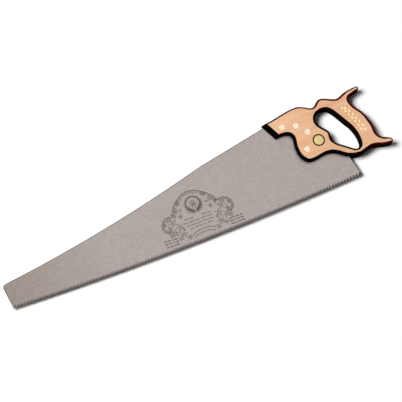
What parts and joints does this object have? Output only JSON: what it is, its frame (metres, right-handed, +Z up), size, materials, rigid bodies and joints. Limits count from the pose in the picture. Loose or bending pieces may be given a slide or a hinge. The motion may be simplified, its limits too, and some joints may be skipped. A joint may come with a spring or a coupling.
{
  "type": "hand saw",
  "caption": "Rip-cut hand saw with a skew-back steel blade, a wooden handle with a closed finger opening and carved grip, and flush brass saw screws.",
  "frame": {"origin": "middle of the saw's box, on the surface that the handle's lower face rests on", "axes": "+X from the toe to the handle along the line of the tooth tips, +Y from the teeth to the blade's back, +Z up, away from the face with the split nuts and towards the face with the screw heads"},
  "size_m": [0.7385, 0.1605, 0.022],
  "materials": {
    "spring_steel": "satin",
    "beech": "satin",
    "brass": "polished"
  },
  "bodies": {
    "root": {"blade": "spring_steel", "handle": "beech", "saw_screw_1": "brass", "saw_screw_2": "brass", "saw_screw_3": "brass", "saw_screw_4": "brass", "split_nut_1": "brass", "split_nut_2": "brass", "split_nut_3": "brass", "split_nut_4": "brass", "medallion_screw": "brass", "medallion_nut": "brass"}
  },
  "joints": []
}
